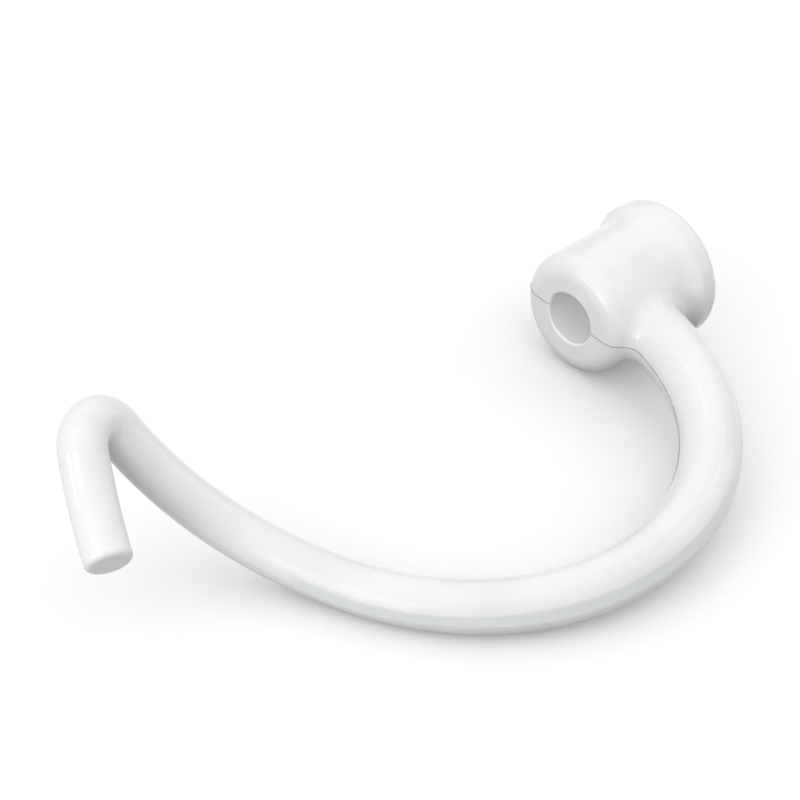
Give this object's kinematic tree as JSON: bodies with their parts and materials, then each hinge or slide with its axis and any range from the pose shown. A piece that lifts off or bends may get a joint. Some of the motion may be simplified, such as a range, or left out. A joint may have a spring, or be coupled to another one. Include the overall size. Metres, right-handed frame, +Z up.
{
  "type": "stand mixer dough hook",
  "caption": "One-piece coated dough hook for a stand mixer: a bored hub with a collar, a round tapering arm bent into a C and a short tail folded back at its end.",
  "frame": {"origin": "centre of the overall box, on the surface that the hook lies on", "axes": "+Z up, +X along the hub towards its collar as seen from above, +Y away from the outside of the bow"},
  "size_m": [0.1816, 0.0876, 0.0415],
  "materials": {
    "white_coating": "gloss"
  },
  "bodies": {
    "root": {"dough_hook": "white_coating"}
  },
  "joints": []
}
